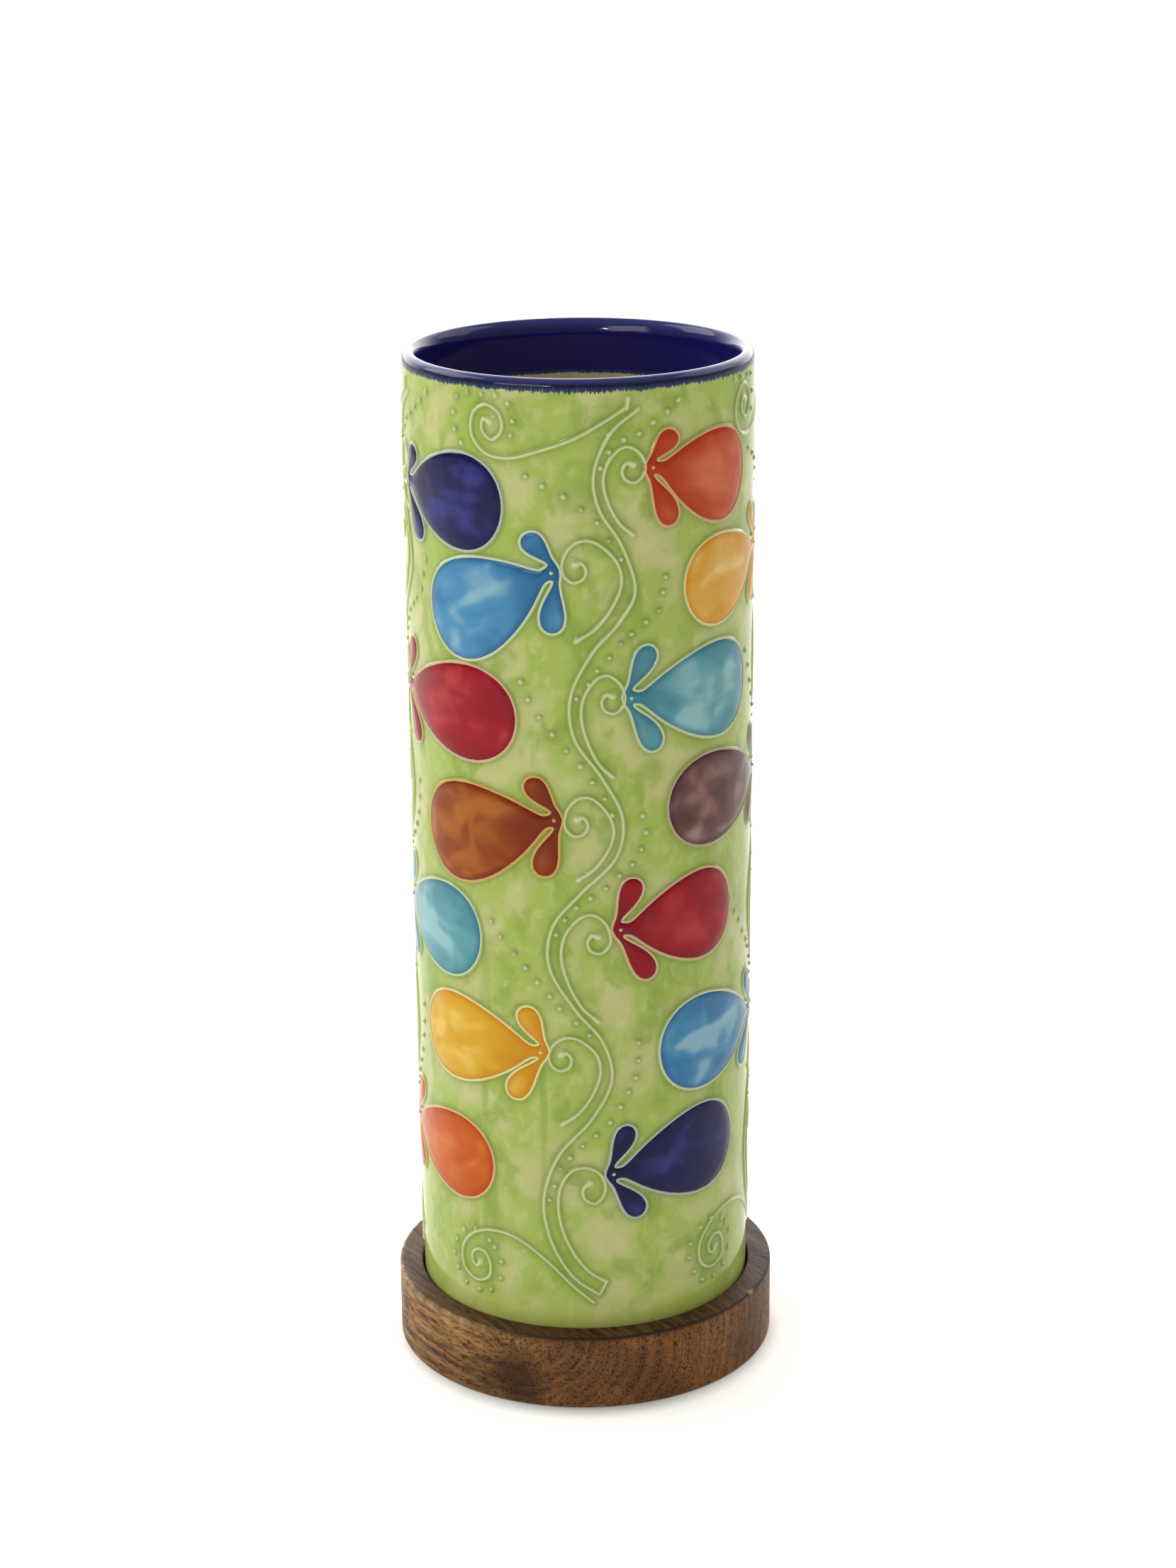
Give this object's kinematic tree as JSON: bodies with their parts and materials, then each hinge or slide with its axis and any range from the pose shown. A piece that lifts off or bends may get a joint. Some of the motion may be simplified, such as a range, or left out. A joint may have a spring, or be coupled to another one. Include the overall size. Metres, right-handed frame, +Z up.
{
  "type": "glazed pottery vase on a wooden base",
  "caption": "Tall straight-sided glazed pottery vase with a rounded rim and raised slip decoration, standing loose in the recess of a turned wooden base",
  "frame": {"origin": "centre of the wooden base's underside, on the surface that the object stands on", "axes": "+Z up along the axis of the vase and of the base, -Y to the front, +X to the right seen from the front"},
  "size_m": [0.1442, 0.1442, 0.3849],
  "materials": {
    "glazed_pottery": "glossy translucent mottled green glaze over pale clay, with cobalt rim and coloured glazes inside raised slip lines",
    "turned_wood": "oiled dark brown hardwood, satin, open pores"
  },
  "bodies": {
    "base": {"wooden_base": "turned_wood"},
    "vase": {"vase_body": "glazed_pottery"}
  },
  "joints": [
    {"name": "vase_lift", "type": "slide", "parent": "base", "child": "vase", "axis": [0, 0, 1], "range_m": [0, 0.06]}
  ]
}
